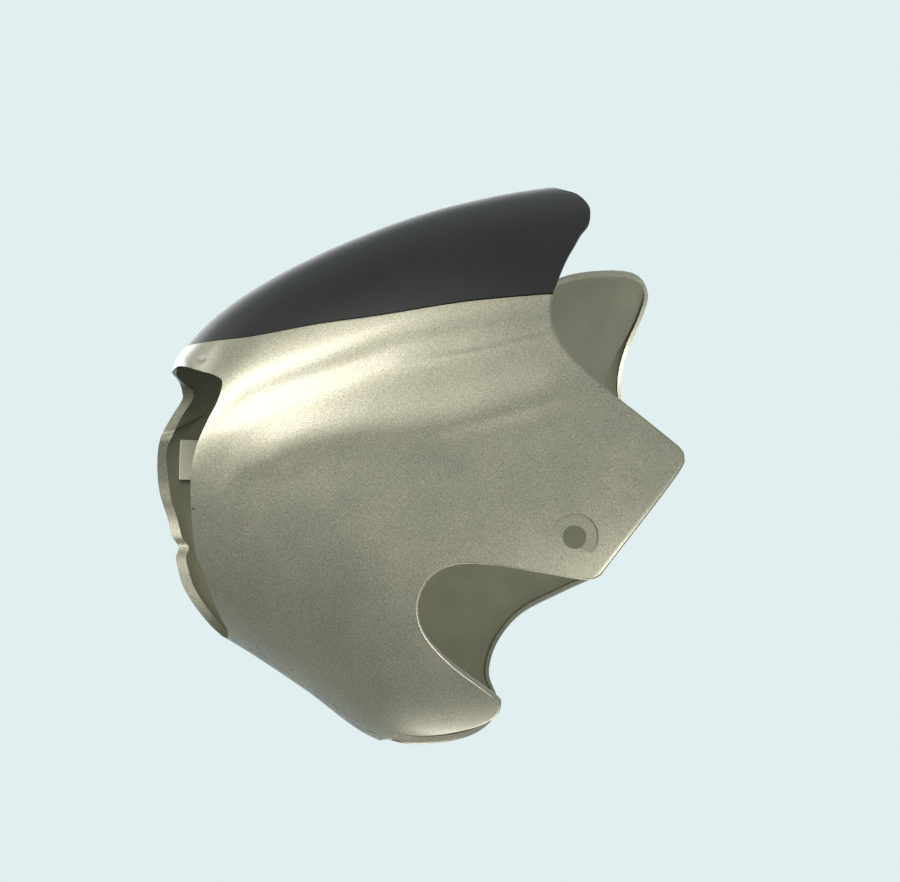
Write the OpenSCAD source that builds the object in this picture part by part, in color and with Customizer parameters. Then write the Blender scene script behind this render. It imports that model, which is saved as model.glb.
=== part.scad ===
// Headlight cowl for a motorbike: a thin moulded shell round the lamp, with a dark tinted screen on top.
// +X points to the rear of the bike, +Z up, and the part is laid out about the plane y = 0.
// The near side is -Y. The origin is the middle of the headlight opening.

/* [Shell] */
// Width of the shell at the headlight opening
front_w = 192; // [180:1:210]
// Width of the shell at its rear edge
rear_w = 280; // [264:1:300]
// Thickness of the moulded wall
wall = 3; // [2:0.25:4]
// Depth of the rolled lip along the open edges
lip = 7; // [5:0.5:9]
// Height of the widest level of the shell, from the origin
waist_z = -12; // [-18:1:-4]

/* [Screen] */
// Thickness of the tinted sheet
screen_t = 3; // [2:0.25:4]
// Width of the sunk ledge that the screen lies on
ledge = 12; // [8:1:16]
// Gap left round the screen
screen_gap = 0.3; // [0.2:0.05:0.6]

/* [Mounting hole] */
// Diameter of the mounting hole in the near arm
hole_d = 19; // [14:0.5:22]
// Diameter of the flat round seat about the hole
seat_d = 38; // [34:1:44]
// Thickness of the flat seat where the fixing clamps
seat_t = 4; // [3:0.25:6]
// Place of the hole, rearwards from the opening
hole_x = 302; // [298:1:306]
// Height of the hole, from the origin
hole_z = -54; // [-57:1:-51]

// How deep the seat is sunk into the skin
seat_sunk = 0.8; // [0.4:0.1:1.2]
// How much smaller the flat inside is than the seat, all round
seat_rim = 4; // [3:0.5:6]

/* [Pad] */
// Length of the damping pad inside the far wall
pad_l = 18; // [12:1:24]
// Height of the pad
pad_h = 29; // [20:1:36]
// Thickness of the pad
pad_t = 2; // [1:0.25:4]
// Thickness of the glue under it
pad_glue = 1.1; // [0.6:0.1:1.5]
// Place of its middle, rearwards from the opening
pad_x = 34; // [33:1:42]
// Height of its middle, from the origin
pad_z = 24; // [10:1:30]

/* [Hidden] */
$fn = 64;

// Lines of the body, as [place along the bike, height]
crown_line = [[0, 80], [1.5, 88], [4, 98], [8.5, 104.5], [28, 125.5], [54, 146], [94, 170], [142, 193],
    [197, 214], [253, 229], [304, 238], [360, 243], [420, 244]];
belly_line = [[0, -106], [45, -128], [108, -168], [157, -203], [200, -216], [260, -222], [420, -228]];

// Headlight opening: from the middle of the brow, round its corner and down the side to the chin
rim_line = [[1.5, 90], [4, 85], [12, 80.5], [22, 76], [26.5, 70], [22, 55], [13, 38], [4, 18], [-0.5, -4],
    [-0.5, -28], [4, -62], [12, -80], [20, -96], [31, -113], [40, -123], [45, -130]];

// Outer edges of the near side, each from its upper end to its lower end
base_line = [[8.5, 106], [18, 106], [52, 108.5], [104, 118], [154, 125], [222, 136], [289, 142.5]];
near_cut = [[289, 142.5], [286.5, 128], [290, 110], [300, 92], [323, 69.5], [355, 44], [386, 19]];
near_arm_end = [[386, 19], [390, 11], [384, -4], [338, -65], [324, -84]];
near_notch = [[324, -84], [312, -88], [272, -82], [236, -76.5], [206, -77], [188, -88], [180, -108], [186, -130],
    [209, -154], [243, -177], [252, -184]];
near_leg_foot = [[252, -184], [250, -193], [236, -201], [214, -206], [192, -207], [176, -205], [168, -208]];

// Outer edges of the far side, in the same order
far_ear = [[289, 142.5], [304, 158], [326, 175], [358, 181.5], [388, 180], [400, 167], [397, 148], [387, 122],
    [382, 95], [386, 60]];
far_arm_end = [[386, 60], [392, 20], [386, -24], [372, -56], [361, -65]];
far_notch = [[361, -65], [333, -78], [300, -96], [279, -121], [270, -147], [274, -166], [275, -174]];
far_leg_foot = [[275, -174], [268, -187], [250, -199], [224, -206], [196, -208], [178, -205], [168, -208]];

// Share of the spokes given to each stretch of the edge
base_spokes = 20;
cut_spokes = 8;
arm_spokes = 5;
notch_spokes = 13;
foot_spokes = 6;

// Rows of points between the opening and the outer edge
rows = 20;

function clamp(v, low, high) = max(low, min(high, v));
function mix(a, b, f) = a + (b - a) * f;

// Smooth curve through a list of points, with f running from 0 at the first to 1 at the last
function curve(line, f) =
    let (n = len(line) - 1, s = clamp(f, 0, 1) * n, i = min(floor(s), n - 1), u = s - i,
         a = line[max(i - 1, 0)], b = line[i], c = line[i + 1], d = line[min(i + 2, n)])
    0.5 * (2 * b + (c - a) * u + (2 * a - 5 * b + 4 * c - d) * u * u + (3 * b - 3 * c + d - a) * u * u * u);

// Height of a body line at x: a smooth step between the two stations beside it
function slope(line, i) =
    let (a = line[max(i - 1, 0)], b = line[min(i + 1, len(line) - 1)]) (b[1] - a[1]) / (b[0] - a[0]);
function station(line, x, i = 0) = (i >= len(line) - 2 || x < line[i + 1][0]) ? i : station(line, x, i + 1);
function height(line, x) =
    let (i = station(line, x), a = line[i], b = line[i + 1], w = b[0] - a[0], u = clamp((x - a[0]) / w, 0, 1))
    a[1] * (1 + 2 * u) * (1 - u) * (1 - u) + b[1] * u * u * (3 - 2 * u)
        + w * slope(line, i) * u * (1 - u) * (1 - u) - w * slope(line, i + 1) * u * u * (1 - u);

function half_width(x) = front_w / 2 + (rear_w - front_w) / 2 * sin(90 * clamp(x / 400, 0, 1));

// Point of the outer skin: turn is 90 on the crown, 0 on the near side, -90 under the belly, 180 on the far side.
// The last power makes the section a little fuller than an ellipse.
fullness = 0.91;
function skin(x, turn) =
    let (s = sin(turn), rise = s > 0 ? height(crown_line, x) - waist_z : waist_z - height(belly_line, x))
    [x, -half_width(x) * cos(turn), waist_z + sign(s) * rise * pow(abs(s), fullness)];

// Turn at which the skin reaches a height on the near side
function turn_at(x, z) =
    let (rise = z > waist_z ? height(crown_line, x) - waist_z : waist_z - height(belly_line, x),
         t = clamp(abs(z - waist_z) / rise, 0, 1))
    sign(z - waist_z) * asin(pow(t, 1 / fullness));

function unit(v) = v / norm(v);
function normal(x, turn) =
    let (across = skin(x, turn + 1) - skin(x, turn - 1), along = skin(x + 1, turn) - skin(x - 1, turn))
    unit(cross(along, across));

// Where spoke k of the near side starts on the opening and ends on the outer edge, as [x, z]
stretches = [base_spokes, cut_spokes, arm_spokes, notch_spokes, foot_spokes];
starts = [0, 0.3, 0.42, 0.5, 0.7, 1];
function sum(list, n) = n == 0 ? 0 : list[n - 1] + sum(list, n - 1);
side_spokes = sum(stretches, len(stretches));
function stretch_of(k, i = 0) =
    (i == len(stretches) - 1 || k < sum(stretches, i + 1)) ? i : stretch_of(k, i + 1);
function share(k) = let (i = stretch_of(k)) (k - sum(stretches, i)) / stretches[i];
function edge_point(lines, k) = curve(lines[stretch_of(k)], share(k));
function rim_point(k) = let (i = stretch_of(k)) curve(rim_line, mix(starts[i], starts[i + 1], share(k)));

near_lines = [base_line, near_cut, near_arm_end, near_notch, near_leg_foot];
far_lines = [base_line, far_ear, far_arm_end, far_notch, far_leg_foot];

function on_skin(p) = [p[0], turn_at(p[0], p[1])];
// Spokes to the far ear first run rearwards and then climb, so that they pass under the end of the base line
ear_climb = 20;
ear_foot = 4;
ear_lean = 110;
function climbs(k) =
    clamp(min(2 * k / base_spokes - 1, (base_spokes + 1.6 * cut_spokes - k) / cut_spokes), 0, 1);
function climb_foot(k, edge) =
    let (corner = on_skin(far_ear[0])[1] - ear_climb, along = clamp((k - base_spokes) / cut_spokes, 0, 1))
    [edge[0] - ear_lean * pow(along, 2), k <= base_spokes ? edge[1] - ear_climb : mix(corner, ear_foot, along)];
function spoke_point(lines, k, f) =
    let (a = on_skin(rim_point(k)), c = on_skin(edge_point(lines, k)),
         b = mix((a + c) / 2, climb_foot(k, c), lines == far_lines ? climbs(k) : 0))
    a * (1 - f) * (1 - f) + 2 * b * f * (1 - f) + c * f * f;

// Mirrors a place on the near side to the far side
function flip(p, far) = far ? [p[0], 180 - p[1]] : p;

// Direction in the skin that points out across the edge at spoke k
function edge_place(k, far) =
    let (side = (k < 0 || k > side_spokes) ? !far : far,
         m = k < 0 ? -k : k > side_spokes ? 2 * side_spokes - k : k,
         p = flip(on_skin(edge_point(side ? far_lines : near_lines, m)), side))
    skin(p[0], p[1]);
function outwards(k, far, n) =
    unit(cross(edge_place(k + 1, far) - edge_place(k - 1, far), n)) * (far ? 1 : -1);

// Place on the skin reached from p by going the distance d in the direction out
function beyond(p, out, d) =
    let (across = (skin(p[0], p[1] + 1) - skin(p[0], p[1] - 1)) / 2)
    [p[0] + d * out[0], p[1] + d * (out * across) / (across * across)];

// Where the wall ends at the screen it steps down by the sheet and runs on under it as a ledge
sunk = screen_t + screen_gap;
ledge_drop = 0.5;
ledge_taper = 3;
function below(p, depth) = skin(p[0], p[1]) - depth * normal(p[0], p[1]);
function ledge_end(p, out, back, width) = [below(p, sunk), below(beyond(p, out, width), sunk + ledge_drop),
    below(beyond(p, out, width), sunk + ledge_drop + wall), below(beyond(p, out, -back), sunk + wall)];
// Elsewhere it ends in a lip turned inwards
function lip_end(p, out, back) = [below(p, lip / 2), below(p, lip),
    below(beyond(p, out, -back), lip), below(beyond(p, out, -back), (lip + wall) / 2)];

// The wall is thicker behind the seat, so that it stays seat_t thick between its two flats
hole_turn = turn_at(hole_x, hole_z);
function backing(p) =
    let (away = norm([p[0] - hole_x, (p[1] - hole_turn) * half_width(hole_x) * PI / 180]))
    (seat_t + 2 * seat_sunk - wall + 1) * clamp((0.7 * seat_d - away) / (0.15 * seat_d), 0, 1);

// One spoke of the wall as a closed loop: along the outer skin, round the edge, back inside, round the rim
function loop(k, far) =
    let (way = [for (i = [0:rows]) flip(spoke_point(far ? far_lines : near_lines, k, i / rows), far)],
         outer = [for (p = way) below(p, 0)],
         edge = way[rows],
         out = outwards(k, far, normal(edge[0], edge[1])),
         back = min(wall, 0.7 * norm(outer[rows] - outer[rows - 1])),
         width = ledge * min((base_spokes - k) / ledge_taper, 1),
         ends = k < base_spokes ? ledge_end(edge, out, back, width) : lip_end(edge, out, back),
         first = outer[1] - outer[0],
         bevel = min(lip, 0.7 * norm(first)))
    concat(outer, ends,
        [for (i = [rows - 1:-1:1]) below(way[i], wall + (far ? 0 : backing(way[i])))],
        [outer[0] + bevel * unit(first) - (wall + bevel / 4) * normal(way[0][0], way[0][1])]);

loops = concat(
    [for (k = [0:side_spokes]) loop(k, false)],
    [for (k = [side_spokes - 1:-1:1]) loop(k, true)]);

module ring(loops) {
    m = len(loops[0]);
    n = len(loops);
    polyhedron(
        points = [for (l = loops) each l],
        faces = [for (i = [0:n - 1], j = [0:m - 1])
            [i * m + j, i * m + (j + 1) % m, (i + 1) % n * m + (j + 1) % m, (i + 1) % n * m + j]],
        convexity = 8);
}

// Flat seat for the fixing, square to the side of the bike, with the hole through it
hole_y = skin(hole_x, hole_turn)[1];
module across_hole(d, start, depth) {
    translate([hole_x, hole_y + start, hole_z]) rotate([-90, 0, 0]) cylinder(d = d, h = depth);
}

module cowl_shell() {
    color("#a9a895") difference() {
        ring(loops);
        across_hole(seat_d, seat_sunk - 2 * lip, 2 * lip);
        across_hole(seat_d - 2 * seat_rim, seat_sunk + seat_t, 2 * lip);
        across_hole(hole_d, -lip, 3 * lip);
    }
}

// Sheet that follows the skin between two depths, over a grid of places
module sheet(places, top, bottom) {
    r = len(places) - 1;
    m = len(places[0]) - 1;
    function upper(i, j) = i * (m + 1) + j;
    function lower(i, j) = (r + 1) * (m + 1) + upper(i, j);
    polyhedron(
        points = [for (depth = [top, bottom], row = places, p = row) below(p, depth)],
        faces = concat(
            [for (i = [0:r - 1], j = [0:m - 1])
                [upper(i, j), upper(i, j + 1), upper(i + 1, j + 1), upper(i + 1, j)]],
            [for (i = [0:r - 1], j = [0:m - 1])
                [lower(i, j), lower(i + 1, j), lower(i + 1, j + 1), lower(i, j + 1)]],
            [for (i = [0:r - 1]) [upper(i, 0), upper(i + 1, 0), lower(i + 1, 0), lower(i, 0)]],
            [for (i = [0:r - 1]) [upper(i, m), lower(i, m), lower(i + 1, m), upper(i + 1, m)]],
            [for (j = [0:m - 1]) [upper(0, j), lower(0, j), lower(0, j + 1), upper(0, j + 1)]],
            [for (j = [0:m - 1]) [upper(r, j), upper(r, j + 1), lower(r, j + 1), lower(r, j)]]));
}

// The screen is one sheet bent over the crown, from the near ledge to the far one
screen_columns = 24;
screen_reach = 47;
module screen() {
    color("#3c3f3b") sheet([for (k = [1:base_spokes])
        let (p = edge_point(near_lines, k < base_spokes ? k : k - 0.01),
             low = turn_at(p[0], p[1]) + 2 * screen_gap / half_width(p[0]) * 180 / PI)
        [for (j = [0:screen_columns])
            let (g = j / screen_columns)
            [p[0] + screen_reach * sin(180 * g) * pow(k / base_spokes, 3), mix(low, 180 - low, g)]]],
        0, screen_t);
}

// The pad is stuck to the inside of the far wall
module wall_pad() {
    steps = 4;
    color("#8f8e78") sheet([for (i = [0:1])
        [for (j = [0:steps]) [pad_x + pad_l * (i - 0.5), 180 - turn_at(pad_x, pad_z + pad_h * (0.5 - j / steps))]]],
        wall + pad_glue, wall + pad_glue + pad_t);
}

cowl_shell();
screen();
wall_pad();
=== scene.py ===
"""Motorbike headlight cowl: the finish of the moulded shell, the tinted screen and the damping pad."""

import math

import bpy
import numpy as np
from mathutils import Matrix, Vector


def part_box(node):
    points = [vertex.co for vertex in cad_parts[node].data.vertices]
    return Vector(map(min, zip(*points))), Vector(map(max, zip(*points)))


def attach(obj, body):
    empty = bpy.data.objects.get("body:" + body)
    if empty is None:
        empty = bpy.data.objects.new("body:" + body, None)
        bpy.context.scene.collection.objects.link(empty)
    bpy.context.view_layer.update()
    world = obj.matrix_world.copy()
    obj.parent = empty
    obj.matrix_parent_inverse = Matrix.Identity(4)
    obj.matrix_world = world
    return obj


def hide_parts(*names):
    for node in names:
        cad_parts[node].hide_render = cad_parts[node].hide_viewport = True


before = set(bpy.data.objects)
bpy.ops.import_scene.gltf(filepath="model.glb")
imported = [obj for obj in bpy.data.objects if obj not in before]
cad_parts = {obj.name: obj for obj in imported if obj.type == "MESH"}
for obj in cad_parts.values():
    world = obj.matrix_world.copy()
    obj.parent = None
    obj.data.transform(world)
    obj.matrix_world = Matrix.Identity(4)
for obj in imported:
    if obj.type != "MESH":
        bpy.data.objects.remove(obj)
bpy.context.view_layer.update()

bl_info = {
    "name": "Headlight cowl",
    "version": (1, 0, 0),
    "blender": (4, 5, 0),
    "location": "View3D > Sidebar > Cowl",
    "description": "Silver headlight cowl with a tinted screen, built round its CAD frame",
    "category": "Object",
}

MM = 0.001

# Sizes in millimetres, as in the frame
FRONT_W = 192
REAR_W = 280
LENGTH = 400
FULLNESS = 0.91
WALL = 3
LIP = 7
WAIST_Z = -12
SCREEN_T = 3
LEDGE = 12
SCREEN_GAP = 0.3
LEDGE_DROP = 0.5
LEDGE_TAPER = 3
HOLE_D = 19
SEAT_D = 38
SEAT_SUNK = 0.8
SEAT_CUTTER = 14
HOLE_CUTTER = 28
HOLE_X = 302
HOLE_Z = -54
ROUNDING = 1.6
PAD_GLUE = 1.1
PAD_T = 2
PAD_FORWARD = 9

# Lines of the body, as [place along the bike, height]
CROWN = [[0, 80], [1.5, 88], [4, 98], [8.5, 104.5], [28, 125.5], [54, 146], [94, 170], [142, 193],
         [197, 214], [253, 229], [304, 238], [360, 243], [420, 244]]
BELLY = [[0, -106], [45, -128], [108, -168], [157, -203], [200, -216], [260, -222], [420, -228]]
RIM = [[1.5, 90], [4, 85], [12, 80.5], [22, 76], [26.5, 70], [22, 55], [13, 38], [4, 18], [-0.5, -4],
       [-0.5, -28], [4, -62], [12, -80], [20, -96], [31, -113], [40, -123], [45, -130]]
FAR_RIM = [[1.5, 90], [11, 85], [15, 80.5], [17, 76], [17.5, 70], [8.6, 55], [0.5, 38], [-0.4, 18],
           [2.4, -4], [9.8, -28], [15, -62], [18.4, -80], [25.4, -96], [35, -113], [41.5, -123], [45, -130]]
BASE = [[8.5, 106], [18, 106], [52, 108.5], [104, 118], [154, 125], [222, 136], [289, 142.5]]
NEAR_LINES = [
    BASE,
    [[289, 142.5], [286.5, 128], [290, 110], [300, 92], [323, 69.5], [355, 44], [386, 19]],
    [[386, 19], [390, 11], [384, -4], [338, -65], [324, -84]],
    [[324, -84], [312, -88], [272, -82], [236, -76.5], [206, -77], [188, -88], [180, -108], [186, -130],
     [209, -154], [243, -177], [252, -184]],
    [[252, -184], [250, -193], [236, -201], [214, -206], [192, -207], [176, -205], [168, -208]],
]
FAR_LINES = [
    BASE,
    [[289, 142.5], [304, 158], [326, 175], [358, 181.5], [388, 180], [400, 167], [397, 148], [387, 122],
     [382, 95], [386, 60]],
    [[386, 60], [392, 20], [386, -24], [372, -56], [361, -65]],
    [[361, -65], [333, -78], [300, -96], [279, -121], [270, -147], [274, -166], [275, -174]],
    [[275, -174], [268, -187], [250, -199], [224, -206], [196, -208], [178, -205], [168, -208]],
]

# Spokes that end on each line of the edge, and where on the rim they start
STRETCHES = [20, 8, 5, 13, 6]
STARTS = [0, 0.3, 0.42, 0.5, 0.7, 1]
BASE_SPOKES, CUT_SPOKES = STRETCHES[:2]
LAST_SPOKE = sum(STRETCHES)

# The far spokes that climb into the ear: their bends in degrees and mm, and where the climb fades out,
# in lengths of the cut
EAR_CLIMB = 20
EAR_FOOT = 4
EAR_LEAN = 110
EAR_FADE = 1.6

# Small step of the far rim
FAR_STEP_Z = -47
FAR_STEP_DEEP = 4.5
FAR_STEP_SOFT = 6

# How far the screen's rear edge reaches behind its corners, as [share of the way to the crown, reach]
SCREEN_BACK = [[0, 0], [0.16, 12.7], [0.25, 21.4], [0.31, 26.8], [0.38, 34.4], [0.49, 37.5], [0.57, 35.5],
               [0.68, 29.9], [0.78, 20.9], [0.89, 15.5], [1, 13.5]]

# Pressed lines on the sides, as [place along the bike, height]; their ends are (start, stop, fade)
CHANNEL = [[10, 24], [35, 49], [78, 68], [110, 79], [164, 98], [216, 109], [280, 118.5], [330, 125]]
CHANNEL_DEEP = 1.7
CHANNEL_SOFT = 12
CHANNEL_ENDS = (16, 340, 30)
CREASE = [[120, 70], [179, 87.4], [237, 99.2], [286, 112.7], [330, 125]]
CREASE_DEEP = 1.1
CREASE_SOFT = 12
CREASE_CRISP = 1.2
CREASE_ENDS = (165, 330, 45)
SHOULDER = [[5, -60], [26, -19], [36.5, -2], [67, 9.4], [92, 19], [130, 27], [193, 34], [290, 60], [400, 85]]
SHOULDER_HIGH = 3.2
SHOULDER_SOFT_ABOVE = 24
SHOULDER_SOFT_BELOW = 12
SHOULDER_ENDS = (14, 330, 50)
DIMPLE = [14, 91]
DIMPLE_DEEP = 0.8
DIMPLE_SPREAD = 6

# How finely the surfaces are drawn. From rim to edge the solid has CAD_ROWS rows where the piece has ROWS,
# and the screen runs over the base's spokes from just behind the brow to just before the corner
SPOKE_STEPS = 4
ROWS = 80
CAD_ROWS = 20
EDGE_TURNS = [0, 30, 60, 90]
SCREEN_GRID = (130, 121)
SCREEN_SPOKES = (1, BASE_SPOKES - 0.01)
PAD_GRID = (12, 16)
HOLE_SIDES = 96
SHARP_ANGLE = 35

# Rows of the section: the edge has its rounding and four rows of ledge or lip, and the inner skin leaves
# out the rows next to the edge and the rim. A rounding takes at most EDGE_SHARE of the row it lies in
EDGE_ROWS = len(EDGE_TURNS) + 4
SKIPPED_ROWS = 4
RIM_ROWS = [0, 1, -1]
EDGE_SHARE = 0.7
RIM_LEAD = 0.25

# Where the paint is chipped: all open edges a little, the belly's front and the brow more. The paint is gone
# where the noise of the chips plus CHIP_SHARE of the wear passes from the first to the second bound
EDGE_WEAR = 0.4
BELLY_WEAR_X = (45, 175)
BELLY_WEAR_SOFT = 30
BROW_WEAR_Z = 84
CHIP_SHARE = 0.26
CHIP_BOUNDS = (0.80, 0.82)

# Stage, in metres and watts. A share of the floor's brightness is its own glow and takes no shadow
FLOOR_Z = -0.8
FLOOR_SIZE = 12
GLOW_SHARE = 0.8
GLOW_STRENGTH = 0.85
ROOM_STRENGTH = 0.22
LAMP_AIM = Vector((0.2, 0, 0.01))
LAMPS = {  # place, size, power
    "key": ((-0.35, -0.9, 0.85), 0.5, 12.5),
    "side": ((-0.95, -0.62, 0.15), 0.3, 8),
    "fill": ((0.8, -1.35, -0.6), 0.3, 14),
    "bounce": ((0.4, 0.19, -0.74), 0.45, 4.4),
    "brow": ((-0.8, 0.3, 1.0), 0.5, 3),
    "top": ((0.6, 0.6, 2.0), 1.2, 1.2),
    "far": ((0.0, 2.2, 0.7), 1.4, 22),
}
CAMERA_AIM = Vector((0.223, 0, 0.0331))
CAMERA_AZIMUTH = math.radians(-9)
CAMERA_ELEVATION = math.radians(-5)
CAMERA_DISTANCE = 18.21
CAMERA_LENS = 910
CAMERA_REACH = 50


def curve(line, f):
    """Points of a Catmull-Rom curve: 0.5*(2b + (c-a)u + (2a-5b+4c-d)u^2 + (3b-3c+d-a)u^3)."""
    line = np.asarray(line, float)
    n = len(line) - 1
    s = np.clip(f, 0, 1) * n
    i = np.minimum(np.floor(s).astype(int), n - 1)
    u = (s - i)[..., None]
    a, b, c, d = line[np.maximum(i - 1, 0)], line[i], line[i + 1], line[np.minimum(i + 2, n)]
    return 0.5 * (2 * b + (c - a) * u + (2 * a - 5 * b + 4 * c - d) * u**2 + (3 * b - 3 * c + d - a) * u**3)


def height(line, x):
    """Height of a body line at x: a cubic Hermite curve whose slopes are those between the next stations."""
    line = np.asarray(line, float)
    n = len(line) - 1
    i = np.clip(np.searchsorted(line[:, 0], x, side="right") - 1, 0, n - 1)
    low, high = np.maximum(np.arange(n + 1) - 1, 0), np.minimum(np.arange(n + 1) + 1, n)
    slope = (line[high, 1] - line[low, 1]) / (line[high, 0] - line[low, 0])
    w = line[i + 1, 0] - line[i, 0]
    u = np.clip((x - line[i, 0]) / w, 0, 1)
    return (line[i, 1] * (1 + 2 * u) * (1 - u) ** 2 + line[i + 1, 1] * u * u * (3 - 2 * u)
            + w * slope[i] * u * (1 - u) ** 2 - w * slope[i + 1] * u * u * (1 - u))


def half_width(x):
    """Half of the shell's width: (front + (rear - front) * sin(90 x / length)) / 2."""
    return FRONT_W / 2 + (REAR_W - FRONT_W) / 2 * np.sin(np.radians(90 * np.clip(x / LENGTH, 0, 1)))


def skin(p):
    """Outer skin at (x, turn): y = -w cos(turn), z = waist + rise sgn(sin turn) |sin turn|^fullness."""
    x, turn = p[..., 0], np.radians(p[..., 1])
    s = np.sin(turn)
    rise = np.where(s > 0, height(CROWN, x) - WAIST_Z, WAIST_Z - height(BELLY, x))
    z = WAIST_Z + np.sign(s) * rise * np.abs(s) ** FULLNESS
    return np.stack([x, -half_width(x) * np.cos(turn), z], -1)


def on_skin(p):
    """(x, turn) of the near side at (x, z), where |z - waist| = rise sin(turn)^fullness."""
    x, z = p[..., 0], p[..., 1]
    rise = np.where(z > WAIST_Z, height(CROWN, x) - WAIST_Z, WAIST_Z - height(BELLY, x))
    t = np.clip(np.abs(z - WAIST_Z) / rise, 0, 1) ** (1 / FULLNESS)
    return np.stack([x, np.sign(z - WAIST_Z) * np.degrees(np.arcsin(t))], -1)


def normal(p):
    """Unit normal of the skin, from differences of 1 degree and 1 mm either way."""
    across = skin(p + [0, 1]) - skin(p - [0, 1])
    along = skin(p + [1, 0]) - skin(p - [1, 0])
    n = np.cross(along, across)
    return n / np.linalg.norm(n, axis=-1, keepdims=True)


def relief(p):
    """How far the skin is pressed in, in mm: the sum of a soft channel, a crisp crease, a soft shoulder that
    stands out instead, and a dimple. With d the height over a form's own line and r the distance from the
    dimple, they are deep exp(-(d / soft)^2) for the channel and the shoulder,
    deep exp(-d / soft) (1 + tanh(d / crisp)) / 2 for the crease and deep exp(-r^2 / spread) for the dimple."""
    s = skin(p)
    x, z = s[..., 0], s[..., 2]

    def ends(start, stop, fade):
        """1 along the line, falling straight to 0 over its first and last fade mm."""
        return np.clip((x - start) / fade, 0, 1) * np.clip((stop - x) / fade, 0, 1)

    d = z - height(CHANNEL, x)
    channel = CHANNEL_DEEP * np.exp(-((d / CHANNEL_SOFT) ** 2)) * ends(*CHANNEL_ENDS)
    d = z - height(CREASE, x)
    crease = CREASE_DEEP * np.exp(-d.clip(0) / CREASE_SOFT) * (0.5 + 0.5 * np.tanh(d / CREASE_CRISP))
    d = z - height(SHOULDER, x)
    soft = np.where(d > 0, SHOULDER_SOFT_ABOVE, SHOULDER_SOFT_BELOW)
    shoulder = -SHOULDER_HIGH * np.exp(-((d / soft) ** 2)) * ends(*SHOULDER_ENDS)
    dimple = DIMPLE_DEEP * np.exp(-(((x - DIMPLE[0]) ** 2 + (z - DIMPLE[1]) ** 2) / DIMPLE_SPREAD))
    return channel + crease * ends(*CREASE_ENDS) + shoulder + dimple


def below(p, depth):
    """Point at a depth under the skin, in mm: skin - depth * normal."""
    return skin(p) - np.asarray(depth)[..., None] * normal(p)


def flip(p, far):
    """Mirrors (x, turn) to the far side: turn becomes 180 - turn."""
    return np.stack([p[..., 0], np.where(far, 180 - p[..., 1], p[..., 1])], -1)


def beyond(p, out, d):
    """(x, turn) reached from p by going d mm along the direction out."""
    across = (skin(p + [0, 1]) - skin(p - [0, 1])) / 2
    turn = (out * across).sum(-1) / (across * across).sum(-1)
    return p + np.stack([out[..., 0], turn], -1) * np.asarray(d)[..., None]


def split(k):
    """The stretch of the edge that spoke k ends on, and how far along it."""
    ends = np.cumsum(STRETCHES)
    i = np.minimum(np.searchsorted(ends, k, side="right"), len(STRETCHES) - 1)
    return i, (k - (ends - STRETCHES)[i]) / np.array(STRETCHES)[i]


def edge_point(lines, k):
    """Point (x, z) of the outer edge where spoke k ends."""
    i, f = split(k)
    return sum(np.where((i == n)[..., None], curve(line, f), 0) for n, line in enumerate(lines))


def rim_point(k, far):
    """Point (x, z) of the lamp opening's rim where spoke k starts; the far side has a small step."""
    i, f = split(k)
    starts = np.array(STARTS)
    p = curve(FAR_RIM if far else RIM, starts[i] + (starts[i + 1] - starts[i]) * f)
    step = FAR_STEP_DEEP * np.exp(-(((p[:, 1] - FAR_STEP_Z) / FAR_STEP_SOFT) ** 2)) if far else 0
    return np.stack([p[:, 0] + step, p[:, 1]], -1)


def spokes(far, k, f):
    """Bezier spokes from the rim a to the outer edge c, (1-f)^2 a + 2f(1-f) b + f^2 c, as (x, turn)."""
    a, c = on_skin(rim_point(k, far)), on_skin(edge_point(FAR_LINES if far else NEAR_LINES, k))
    b = (a + c) / 2
    if far:
        rise, fade = 2 * k / BASE_SPOKES - 1, (BASE_SPOKES + EAR_FADE * CUT_SPOKES - k) / CUT_SPOKES
        climb = np.clip(np.minimum(rise, fade), 0, 1)[:, None]
        corner = on_skin(np.array(FAR_LINES[1][0], float))[1] - EAR_CLIMB
        along = np.clip((k - BASE_SPOKES) / CUT_SPOKES, 0, 1)
        foot = np.where(k <= BASE_SPOKES, c[:, 1] - EAR_CLIMB, corner + (EAR_FOOT - corner) * along)
        b = b + (np.stack([c[:, 0] - EAR_LEAN * along**2, foot], -1) - b) * climb
    f = f[None, :, None]
    return a[:, None] * (1 - f) ** 2 + 2 * b[:, None] * f * (1 - f) + c[:, None] * f**2


def edge_place(k, far):
    """Point of the outer edge at spoke k, running on over the brow and the chin."""
    side = np.where((k < 0) | (k > LAST_SPOKE), not far, far)
    m = np.where(k < 0, -k, np.where(k > LAST_SPOKE, 2 * LAST_SPOKE - k, k))
    p = np.where(side[:, None], on_skin(edge_point(FAR_LINES, m)), on_skin(edge_point(NEAR_LINES, m)))
    return skin(flip(p, side))


def edge_rows(k, edge, out, step):
    """Rows round the outer edge: a quarter circle, then the screen's ledge or, elsewhere, the lip."""
    press = relief(edge)
    soft = np.minimum(ROUNDING, EDGE_SHARE * step)
    rounding = [below(beyond(edge, out, -soft * (1 - math.sin(a))), press + soft * (1 - math.cos(a)))
                for a in np.radians(EDGE_TURNS)]
    sunk = SCREEN_T + SCREEN_GAP
    reach = beyond(edge, out, LEDGE * np.clip((BASE_SPOKES - k) / LEDGE_TAPER, 0, 1))
    back = beyond(edge, out, -np.minimum(WALL, EDGE_SHARE * step * ROWS / CAD_ROWS))
    ledge = [below(edge, sunk), below(reach, sunk + LEDGE_DROP), below(reach, sunk + LEDGE_DROP + WALL),
             below(back, sunk + WALL)]
    lip = [below(edge, press + LIP / 2), below(edge, press + LIP), below(back, press + LIP),
           below(back, press + (LIP + WALL) / 2)]
    on_ledge = (k < BASE_SPOKES)[:, None]
    return np.stack(rounding + [np.where(on_ledge, a, b) for a, b in zip(ledge, lip)], 1)


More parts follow.
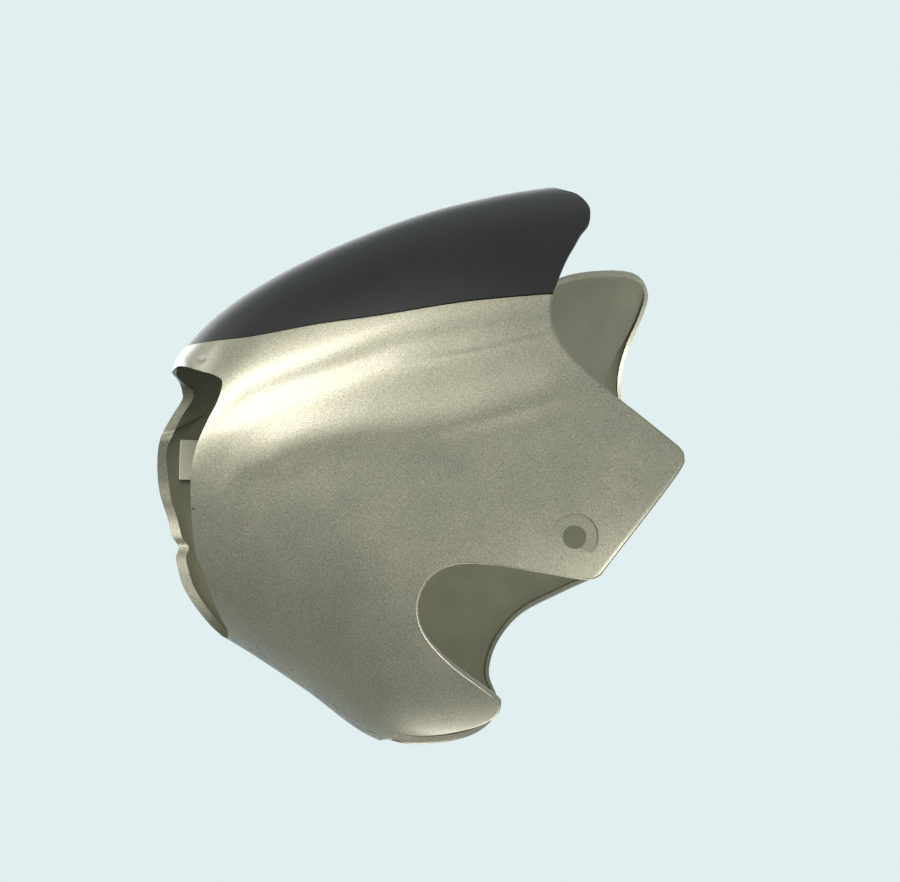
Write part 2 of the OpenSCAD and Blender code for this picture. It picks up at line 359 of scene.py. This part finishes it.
def rim_rows(outer, way):
    """Rows of the lamp rim: its turned-in inner edge, and one that leads from there to the outer skin."""
    first = outer[:, SKIPPED_ROWS] - outer[:, 0]
    length = np.linalg.norm(first, axis=-1, keepdims=True)
    bevel = np.minimum(LIP, EDGE_SHARE * length)
    rim = outer[:, 0] + bevel * first / length - (WALL + bevel / 4) * normal(way[:, 0])
    return np.stack([rim, outer[:, 0] + RIM_LEAD * (rim - outer[:, 0])], 1)


def shell_side(far):
    """Closed sections of one side of the shell, one a spoke: outer skin, edge, inner skin and rim."""
    k = np.linspace(0, LAST_SPOKE, LAST_SPOKE * SPOKE_STEPS + 1)
    way = flip(spokes(far, k, np.linspace(0, 1, ROWS + 1)), far)
    outer = below(way, relief(way))
    edge = way[:, -1]
    out = np.cross(edge_place(k + 1, far) - edge_place(k - 1, far), normal(edge)) * (1 if far else -1)
    out /= np.linalg.norm(out, axis=-1, keepdims=True)
    step = np.linalg.norm(outer[:, -1] - outer[:, -2], axis=-1)
    within = way[:, ROWS - SKIPPED_ROWS:SKIPPED_ROWS - 1:-1]
    inner = below(within, WALL + relief(within))
    return np.concatenate([outer[:, :-1], edge_rows(k, edge, out, step), inner, rim_rows(outer, way)], 1)


def wear(sections):
    """How chipped each point is, 0 to 1: exp(-(y / soft)^2) on the belly's front, and set on the edges."""
    x, y, z = np.moveaxis(sections, -1, 0)
    front = (z < WAIST_Z) & (x > BELLY_WEAR_X[0]) & (x < BELLY_WEAR_X[1])
    worn = np.exp(-((y / BELLY_WEAR_SOFT) ** 2)) * front
    edge = slice(ROWS - 1, ROWS + EDGE_ROWS - 2)
    worn[:, edge] = np.maximum(worn[:, edge], EDGE_WEAR)
    worn[:, RIM_ROWS] = np.where((z > BROW_WEAR_Z) & (y < 0), 1, EDGE_WEAR)[:, RIM_ROWS]
    return worn


def screen_places():
    """Grid of (x, turn) of the screen. With g from 0 at its near edge to 1 at its far edge,
    turn = low + (180 - 2 low) g and x = edge + back(1 - |1 - 2g|) (k / last)^3."""
    k = np.linspace(*SCREEN_SPOKES, SCREEN_GRID[0])
    p = edge_point(NEAR_LINES, k)
    low = (on_skin(p)[:, 1] + np.degrees(2 * SCREEN_GAP / half_width(p[:, 0])))[:, None]
    g = np.linspace(0, 1, SCREEN_GRID[1])[None, :]
    x = p[:, :1] + height(SCREEN_BACK, 1 - np.abs(1 - 2 * g)) * (k[:, None] / BASE_SPOKES) ** 3
    return np.stack([x, low + (180 - 2 * low) * g], -1)


def pad_places(low, high):
    """Grid of (x, turn) of the pad on the far wall, evenly spaced in x and z between two corners."""
    x = np.linspace(low[0] - PAD_FORWARD, high[0], PAD_GRID[0])
    z = np.linspace(high[2], low[2], PAD_GRID[1])
    return flip(on_skin(np.stack(np.meshgrid(x, z, indexing="ij"), -1)), True)


def mesh_object(name, points, faces, materials, slots=None, edge=None):
    """A mesh in metres with its object at the origin, smooth but for its sharp edges.
    The faces are given clockwise from outside, as in the solids, and turned round here."""
    mesh = bpy.data.meshes.new(name)
    mesh.vertices.add(len(points))
    mesh.vertices.foreach_set("co", (points * MM).ravel())
    mesh.loops.add(faces.size)
    mesh.loops.foreach_set("vertex_index", faces[:, ::-1].ravel())
    mesh.polygons.add(len(faces))
    mesh.polygons.foreach_set("loop_start", np.arange(0, faces.size, 4))
    for m in materials:
        mesh.materials.append(m)
    if slots is not None:
        mesh.polygons.foreach_set("material_index", slots)
    mesh.update(calc_edges=True)
    mesh.validate()
    mesh.shade_smooth()
    mesh.set_sharp_from_angle(angle=math.radians(SHARP_ANGLE))
    if edge is not None:
        mesh.attributes.new("edge", "FLOAT", "POINT").data.foreach_set("value", edge)
    obj = bpy.data.objects.new(name, mesh)
    bpy.context.scene.collection.objects.link(obj)
    return obj


def sheet_object(name, places, top, bottom, material):
    """A sheet that follows the skin between two depths, over a grid of (x, turn)."""
    r, m = places.shape[:2]
    number = np.arange(r * m).reshape(r, m)
    rim = np.concatenate([number[0, :-1], number[:-1, -1], number[-1, :0:-1], number[:0:-1, 0]])
    after = np.roll(rim, -1)
    quads = np.stack([number[:-1, :-1], number[:-1, 1:], number[1:, 1:], number[1:, :-1]], -1)
    quads = quads.reshape(-1, 4)
    sides = np.stack([rim, rim + r * m, after + r * m, after], -1)
    faces = np.concatenate([quads, quads[:, ::-1] + r * m, sides])
    points = np.concatenate([below(places, depth).reshape(-1, 3) for depth in (top, bottom)])
    return mesh_object(name, points, faces, [material])


def cylinder(name, diameter, start, depth):
    """A cylinder across the mounting hole, from start to start + depth mm behind the skin."""
    y = skin(on_skin(np.array([HOLE_X, HOLE_Z], float)))[1] + start + depth / 2
    bpy.ops.mesh.primitive_cylinder_add(
        vertices=HOLE_SIDES, radius=diameter / 2 * MM, depth=depth * MM,
        location=(HOLE_X * MM, y * MM, HOLE_Z * MM), rotation=(math.pi / 2, 0, 0))
    obj = bpy.context.active_object
    obj.name = name
    return obj


def cut(obj, cutters):
    """Takes the cutters out of the object and removes them."""
    for c in cutters:
        modifier = obj.modifiers.new("cut", "BOOLEAN")
        modifier.operation = "DIFFERENCE"
        modifier.solver = "MANIFOLD"
        modifier.object = c
    graph = bpy.context.evaluated_depsgraph_get()
    mesh = bpy.data.meshes.new_from_object(obj.evaluated_get(graph))
    obj.modifiers.clear()
    obj.data = mesh
    for c in cutters:
        bpy.data.objects.remove(c)


def finish_piece(obj, node):
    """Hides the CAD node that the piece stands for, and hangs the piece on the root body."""
    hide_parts(node)
    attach(obj, "root")


def linear(hex_code):
    """Linear colour of an sRGB hex code: v / 12.92 up to 0.04045, then ((v + 0.055) / 1.055)^2.4."""
    v = np.array([int(hex_code[i:i + 2], 16) for i in (1, 3, 5)]) / 255
    return (*np.where(v <= 0.04045, v / 12.92, ((v + 0.055) / 1.055) ** 2.4), 1)


def shade(colour, factor):
    """The colour times a factor, no lighter than white."""
    return (*(min(1, factor * c) for c in colour[:3]), 1)


def feed(tree, node, inputs):
    """Links each input that is given a socket, and sets the others to their plain value."""
    for key, value in inputs.items():
        if isinstance(value, bpy.types.NodeSocket):
            tree.links.new(value, node.inputs[key])
        else:
            node.inputs[key].default_value = value


def add(tree, kind, inputs=None, **settings):
    """Adds a shader node with its settings and inputs."""
    node = tree.nodes.new(kind)
    for key, value in settings.items():
        setattr(node, key, value)
    feed(tree, node, inputs or {})
    return node


def noise(tree, size_mm, detail):
    """Noise whose cells are about size_mm wide, in object coordinates."""
    place = add(tree, "ShaderNodeTexCoord").outputs["Object"]
    inputs = {"Vector": place, "Scale": 1 / (size_mm * MM), "Detail": detail}
    return add(tree, "ShaderNodeTexNoise", inputs).outputs["Fac"]


def ramp(tree, source, stops):
    """Colour that runs between two stops, given as {position: colour}."""
    node = add(tree, "ShaderNodeValToRGB", {"Fac": source})
    for element, (position, colour) in zip(node.color_ramp.elements, stops.items()):
        element.position, element.color = position, colour
    return node.outputs["Color"]


def spread(tree, source, low, high):
    """The source, which runs from 0 to 1, stretched to run from low to high."""
    return add(tree, "ShaderNodeMapRange", {"Value": source, "To Min": low, "To Max": high}).outputs["Result"]


def combine(tree, operation, a, b):
    """A sum, product or maximum of two numbers."""
    return add(tree, "ShaderNodeMath", {0: a, 1: b}, operation=operation).outputs[0]


def mix_colours(tree, blend, factor, a, b):
    """Colour b laid over colour a in a blend mode. The colours are sockets 6 and 7 of the Mix node."""
    inputs = {"Factor": factor, 6: a, 7: b}
    return add(tree, "ShaderNodeMix", inputs, data_type="RGBA", blend_type=blend).outputs[2]


def new_material(name):
    """A material with its node tree and its Principled shader."""
    material = bpy.data.materials.new(name)
    material.use_nodes = True
    return material, material.node_tree, material.node_tree.nodes["Principled BSDF"]


def silver_paint(colour):
    """Warm metallic paint with fine flake, faint mottling, and dark chips along the open edges."""
    material, tree, shader = new_material("silver metallic paint")
    flake = noise(tree, size_mm=0.9, detail=1)
    cloud = noise(tree, size_mm=45, detail=3)
    speck = ramp(tree, flake, {0.36: shade(colour, 0.74), 0.66: shade(colour, 1.22)})
    tint = ramp(tree, cloud, {0.3: linear("#f1f0e8"), 0.7: linear("#fffdf4")})
    edge = add(tree, "ShaderNodeAttribute", attribute_name="edge").outputs["Fac"]
    chips = noise(tree, size_mm=5, detail=4)
    worn = combine(tree, "ADD", chips, combine(tree, "MULTIPLY", edge, CHIP_SHARE))
    bare = ramp(tree, worn, dict(zip(CHIP_BOUNDS, (linear("#000000"), linear("#ffffff")))))
    coat = mix_colours(tree, "MULTIPLY", 1, speck, tint)
    bump = add(tree, "ShaderNodeBump", {"Height": flake, "Strength": 0.05, "Distance": 0.4 * MM})
    feed(tree, shader, {
        "Base Color": mix_colours(tree, "MIX", bare, coat, linear("#4b4a42")),
        "Metallic": 0.75,
        "Roughness": spread(tree, cloud, 0.36, 0.46),
        "Coat Weight": 0.3,
        "Coat Roughness": 0.16,
        "Normal": bump.outputs["Normal"],
    })
    return material


def raw_inside(colour):
    """Bare olive inside of the moulding, with soft overspray."""
    material, tree, shader = new_material("raw moulded plastic")
    spray = noise(tree, size_mm=30, detail=4)
    feed(tree, shader, {
        "Base Color": ramp(tree, spray, {0.3: shade(colour, 0.8), 0.7: colour}),
        "Roughness": 0.55,
    })
    return material


def tinted_sheet(colour):
    """Dark, dusty tinted sheet."""
    material, tree, shader = new_material("dark tinted sheet")
    dust = noise(tree, size_mm=60, detail=5)
    feed(tree, shader, {
        "Base Color": ramp(tree, dust, {0.35: colour, 0.75: shade(colour, 1.6)}),
        "Roughness": spread(tree, dust, 0.42, 0.55),
        "Specular IOR Level": 0.2,
        "Coat Weight": 0.08,
        "Coat Roughness": 0.3,
    })
    return material


def foam(colour):
    """Pale closed foam of the pad."""
    material, tree, shader = new_material("pale foam")
    grain = noise(tree, size_mm=1.5, detail=2)
    feed(tree, shader, {
        "Base Color": ramp(tree, grain, {0.3: shade(colour, 0.85), 0.7: colour}),
        "Roughness": 0.9,
    })
    return material


def backdrop_rays(tree):
    """1 for the rays that show the pale background: those of the camera, of gloss and of glass."""
    rays = add(tree, "ShaderNodeLightPath").outputs
    seen = combine(tree, "MAXIMUM", rays["Is Camera Ray"], rays["Is Glossy Ray"])
    return combine(tree, "MAXIMUM", seen, rays["Is Transmission Ray"])


def mix_shaders(tree, factor, a, b, output):
    """Shader b laid over shader a, and linked to the tree's output."""
    mixed = add(tree, "ShaderNodeMixShader", {0: factor, 1: a.outputs[0], 2: b.outputs[0]})
    tree.links.new(mixed.outputs[0], tree.nodes[output].inputs["Surface"])


def pale_floor(colour, backdrop):
    """Matt floor that looks as pale as the backdrop and keeps a faint shadow."""
    bpy.ops.mesh.primitive_plane_add(size=FLOOR_SIZE, location=(0, 0, FLOOR_Z))
    floor = bpy.context.active_object
    floor.name = "pale_floor"
    material, tree, shader = new_material("pale floor")
    feed(tree, shader, {"Base Color": colour, "Roughness": 0.9})
    glow = add(tree, "ShaderNodeEmission", {"Color": backdrop, "Strength": GLOW_STRENGTH})
    share = combine(tree, "MULTIPLY", backdrop_rays(tree), GLOW_SHARE)
    mix_shaders(tree, share, shader, glow, "Material Output")
    floor.data.materials.append(material)


def pale_room(scene, backdrop):
    """Dim even light from all round, behind which the pale backdrop is seen."""
    world = bpy.data.worlds.new("pale room")
    scene.world = world
    world.use_nodes = True
    tree = world.node_tree
    back = tree.nodes["Background"]
    feed(tree, back, {"Color": linear("#d9dcdc"), "Strength": ROOM_STRENGTH})
    seen = add(tree, "ShaderNodeBackground", {"Color": backdrop, "Strength": 1})
    mix_shaders(tree, backdrop_rays(tree), back, seen, "World Output")


def aim(obj, place, target):
    """Puts a lamp or the camera at a place and turns it to its target."""
    obj.location = place
    obj.rotation_euler = (target - Vector(place)).to_track_quat("-Z", "Y").to_euler()
    bpy.context.scene.collection.objects.link(obj)


def add_camera(scene):
    """Camera at the photograph's angle, from far off, so that the view is almost parallel."""
    camera = bpy.data.objects.new("camera", bpy.data.cameras.new("camera"))
    camera.data.lens = CAMERA_LENS
    camera.data.clip_end = CAMERA_REACH
    towards = Vector((math.sin(CAMERA_AZIMUTH) * math.cos(CAMERA_ELEVATION),
                      -math.cos(CAMERA_AZIMUTH) * math.cos(CAMERA_ELEVATION),
                      math.sin(CAMERA_ELEVATION)))
    aim(camera, CAMERA_AIM + CAMERA_DISTANCE * towards, CAMERA_AIM)
    scene.camera = camera


class CowlShell(bpy.types.PropertyGroup):
    paint: bpy.props.FloatVectorProperty(
        name="Paint", description="Colour of the paint",
        subtype="COLOR", size=4, min=0, max=1, default=linear("#868375"))
    inside: bpy.props.FloatVectorProperty(
        name="Inside", description="Colour of the bare inside",
        subtype="COLOR", size=4, min=0, max=1, default=linear("#74745c"))
    hole_d: bpy.props.FloatProperty(
        name="Hole", description="Diameter of the mounting hole", unit="LENGTH", default=HOLE_D * MM)
    seat_d: bpy.props.FloatProperty(
        name="Seat", description="Diameter of the seat round the hole", unit="LENGTH", default=SEAT_D * MM)


class CowlScreen(bpy.types.PropertyGroup):
    tint: bpy.props.FloatVectorProperty(
        name="Tint", description="Colour of the sheet",
        subtype="COLOR", size=4, min=0, max=1, default=linear("#0f100d"))


class CowlPad(bpy.types.PropertyGroup):
    colour: bpy.props.FloatVectorProperty(
        name="Colour", description="Colour of the foam",
        subtype="COLOR", size=4, min=0, max=1, default=linear("#c6c5ae"))
    thickness: bpy.props.FloatProperty(
        name="Thickness", description="Thickness of the foam", unit="LENGTH", default=PAD_T * MM)


class CowlStage(bpy.types.PropertyGroup):
    floor: bpy.props.FloatVectorProperty(
        name="Floor", description="Colour of the light that the floor throws back",
        subtype="COLOR", size=4, min=0, max=1, default=linear("#a2a9aa"))
    backdrop: bpy.props.FloatVectorProperty(
        name="Backdrop", description="Colour behind the cowl",
        subtype="COLOR", size=4, min=0, max=1, default=linear("#e1eff0"))


class BuildShell(bpy.types.Operator):
    """Builds the moulded shell"""
    bl_idname = "cowl.build_shell"
    bl_label = "Build the shell"

    def execute(self, context):
        looks = context.scene.cowl_shell
        sections = np.concatenate([shell_side(False), shell_side(True)[-2:0:-1]])
        n, m = sections.shape[:2]
        a = np.arange(n * m).reshape(n, m)
        b = np.roll(a, -1, 1)
        faces = np.stack([a, b, np.roll(b, -1, 0), np.roll(a, -1, 0)], -1).reshape(-1, 4)
        slots = np.zeros((n, m), int)
        slots[:, ROWS + EDGE_ROWS - 1:-2] = 1
        materials = [silver_paint(tuple(looks.paint)), raw_inside(tuple(looks.inside))]
        shell = mesh_object("moulded_shell", sections.reshape(-1, 3), faces, materials, slots.ravel(),
                            wear(sections).ravel())
        cut(shell, [cylinder("recess", looks.seat_d / MM, SEAT_SUNK - SEAT_CUTTER, SEAT_CUTTER),
                    cylinder("hole", looks.hole_d / MM, -LIP, HOLE_CUTTER)])
        finish_piece(shell, "cowl_shell")
        return {"FINISHED"}


class BuildScreen(bpy.types.Operator):
    """Builds the tinted screen"""
    bl_idname = "cowl.build_screen"
    bl_label = "Build the screen"

    def execute(self, context):
        material = tinted_sheet(tuple(context.scene.cowl_screen.tint))
        screen = sheet_object("tinted_screen", screen_places(), 0, SCREEN_T, material)
        finish_piece(screen, "screen")
        return {"FINISHED"}


class BuildPad(bpy.types.Operator):
    """Builds the damping pad inside the far wall"""
    bl_idname = "cowl.build_pad"
    bl_label = "Build the pad"

    def execute(self, context):
        looks = context.scene.cowl_pad
        places = pad_places(*(np.array(c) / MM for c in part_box("wall_pad")))
        face = WALL + PAD_GLUE + relief(places)
        pad = sheet_object("foam_pad", places, face, face + looks.thickness / MM, foam(tuple(looks.colour)))
        finish_piece(pad, "wall_pad")
        return {"FINISHED"}


class BuildStage(bpy.types.Operator):
    """Builds the floor, the room, the lamps and the camera"""
    bl_idname = "cowl.build_stage"
    bl_label = "Build the stage"

    def execute(self, context):
        scene = context.scene
        looks = scene.cowl_stage
        pale_floor(tuple(looks.floor), tuple(looks.backdrop))
        pale_room(scene, tuple(looks.backdrop))
        for name, (place, size, power) in LAMPS.items():
            data = bpy.data.lights.new(name, "AREA")
            data.size, data.energy = size, power
            aim(bpy.data.objects.new(name, data), place, LAMP_AIM)
        add_camera(scene)
        scene.view_settings.view_transform = "Standard"
        return {"FINISHED"}


class CowlPanel(bpy.types.Panel):
    """Lists the pieces of the cowl"""
    bl_idname = "VIEW3D_PT_cowl"
    bl_label = "Headlight cowl"
    bl_space_type = "VIEW_3D"
    bl_region_type = "UI"
    bl_category = "Cowl"

    def draw(self, context):
        for (name, group), operator in zip(GROUPS.items(), OPERATORS):
            for key in group.__annotations__:
                self.layout.prop(getattr(context.scene, name), key)
            self.layout.operator(operator.bl_idname)


GROUPS = {"cowl_shell": CowlShell, "cowl_screen": CowlScreen, "cowl_pad": CowlPad, "cowl_stage": CowlStage}
OPERATORS = (BuildShell, BuildScreen, BuildPad, BuildStage)


def register():
    """Registers the classes and adds the groups of settings to the scene."""
    for c in (*GROUPS.values(), *OPERATORS, CowlPanel):
        bpy.utils.register_class(c)
    for name, group in GROUPS.items():
        setattr(bpy.types.Scene, name, bpy.props.PointerProperty(type=group))


def unregister():
    """Takes the groups of settings off the scene and unregisters the classes."""
    for name in GROUPS:
        delattr(bpy.types.Scene, name)
    for c in (CowlPanel, *OPERATORS, *GROUPS.values()):
        bpy.utils.unregister_class(c)


def main():
    """Builds the pieces and the stage."""
    register()
    bpy.ops.cowl.build_shell()
    bpy.ops.cowl.build_screen()
    bpy.ops.cowl.build_pad()
    bpy.ops.cowl.build_stage()


if __name__ == "__main__":
    main()
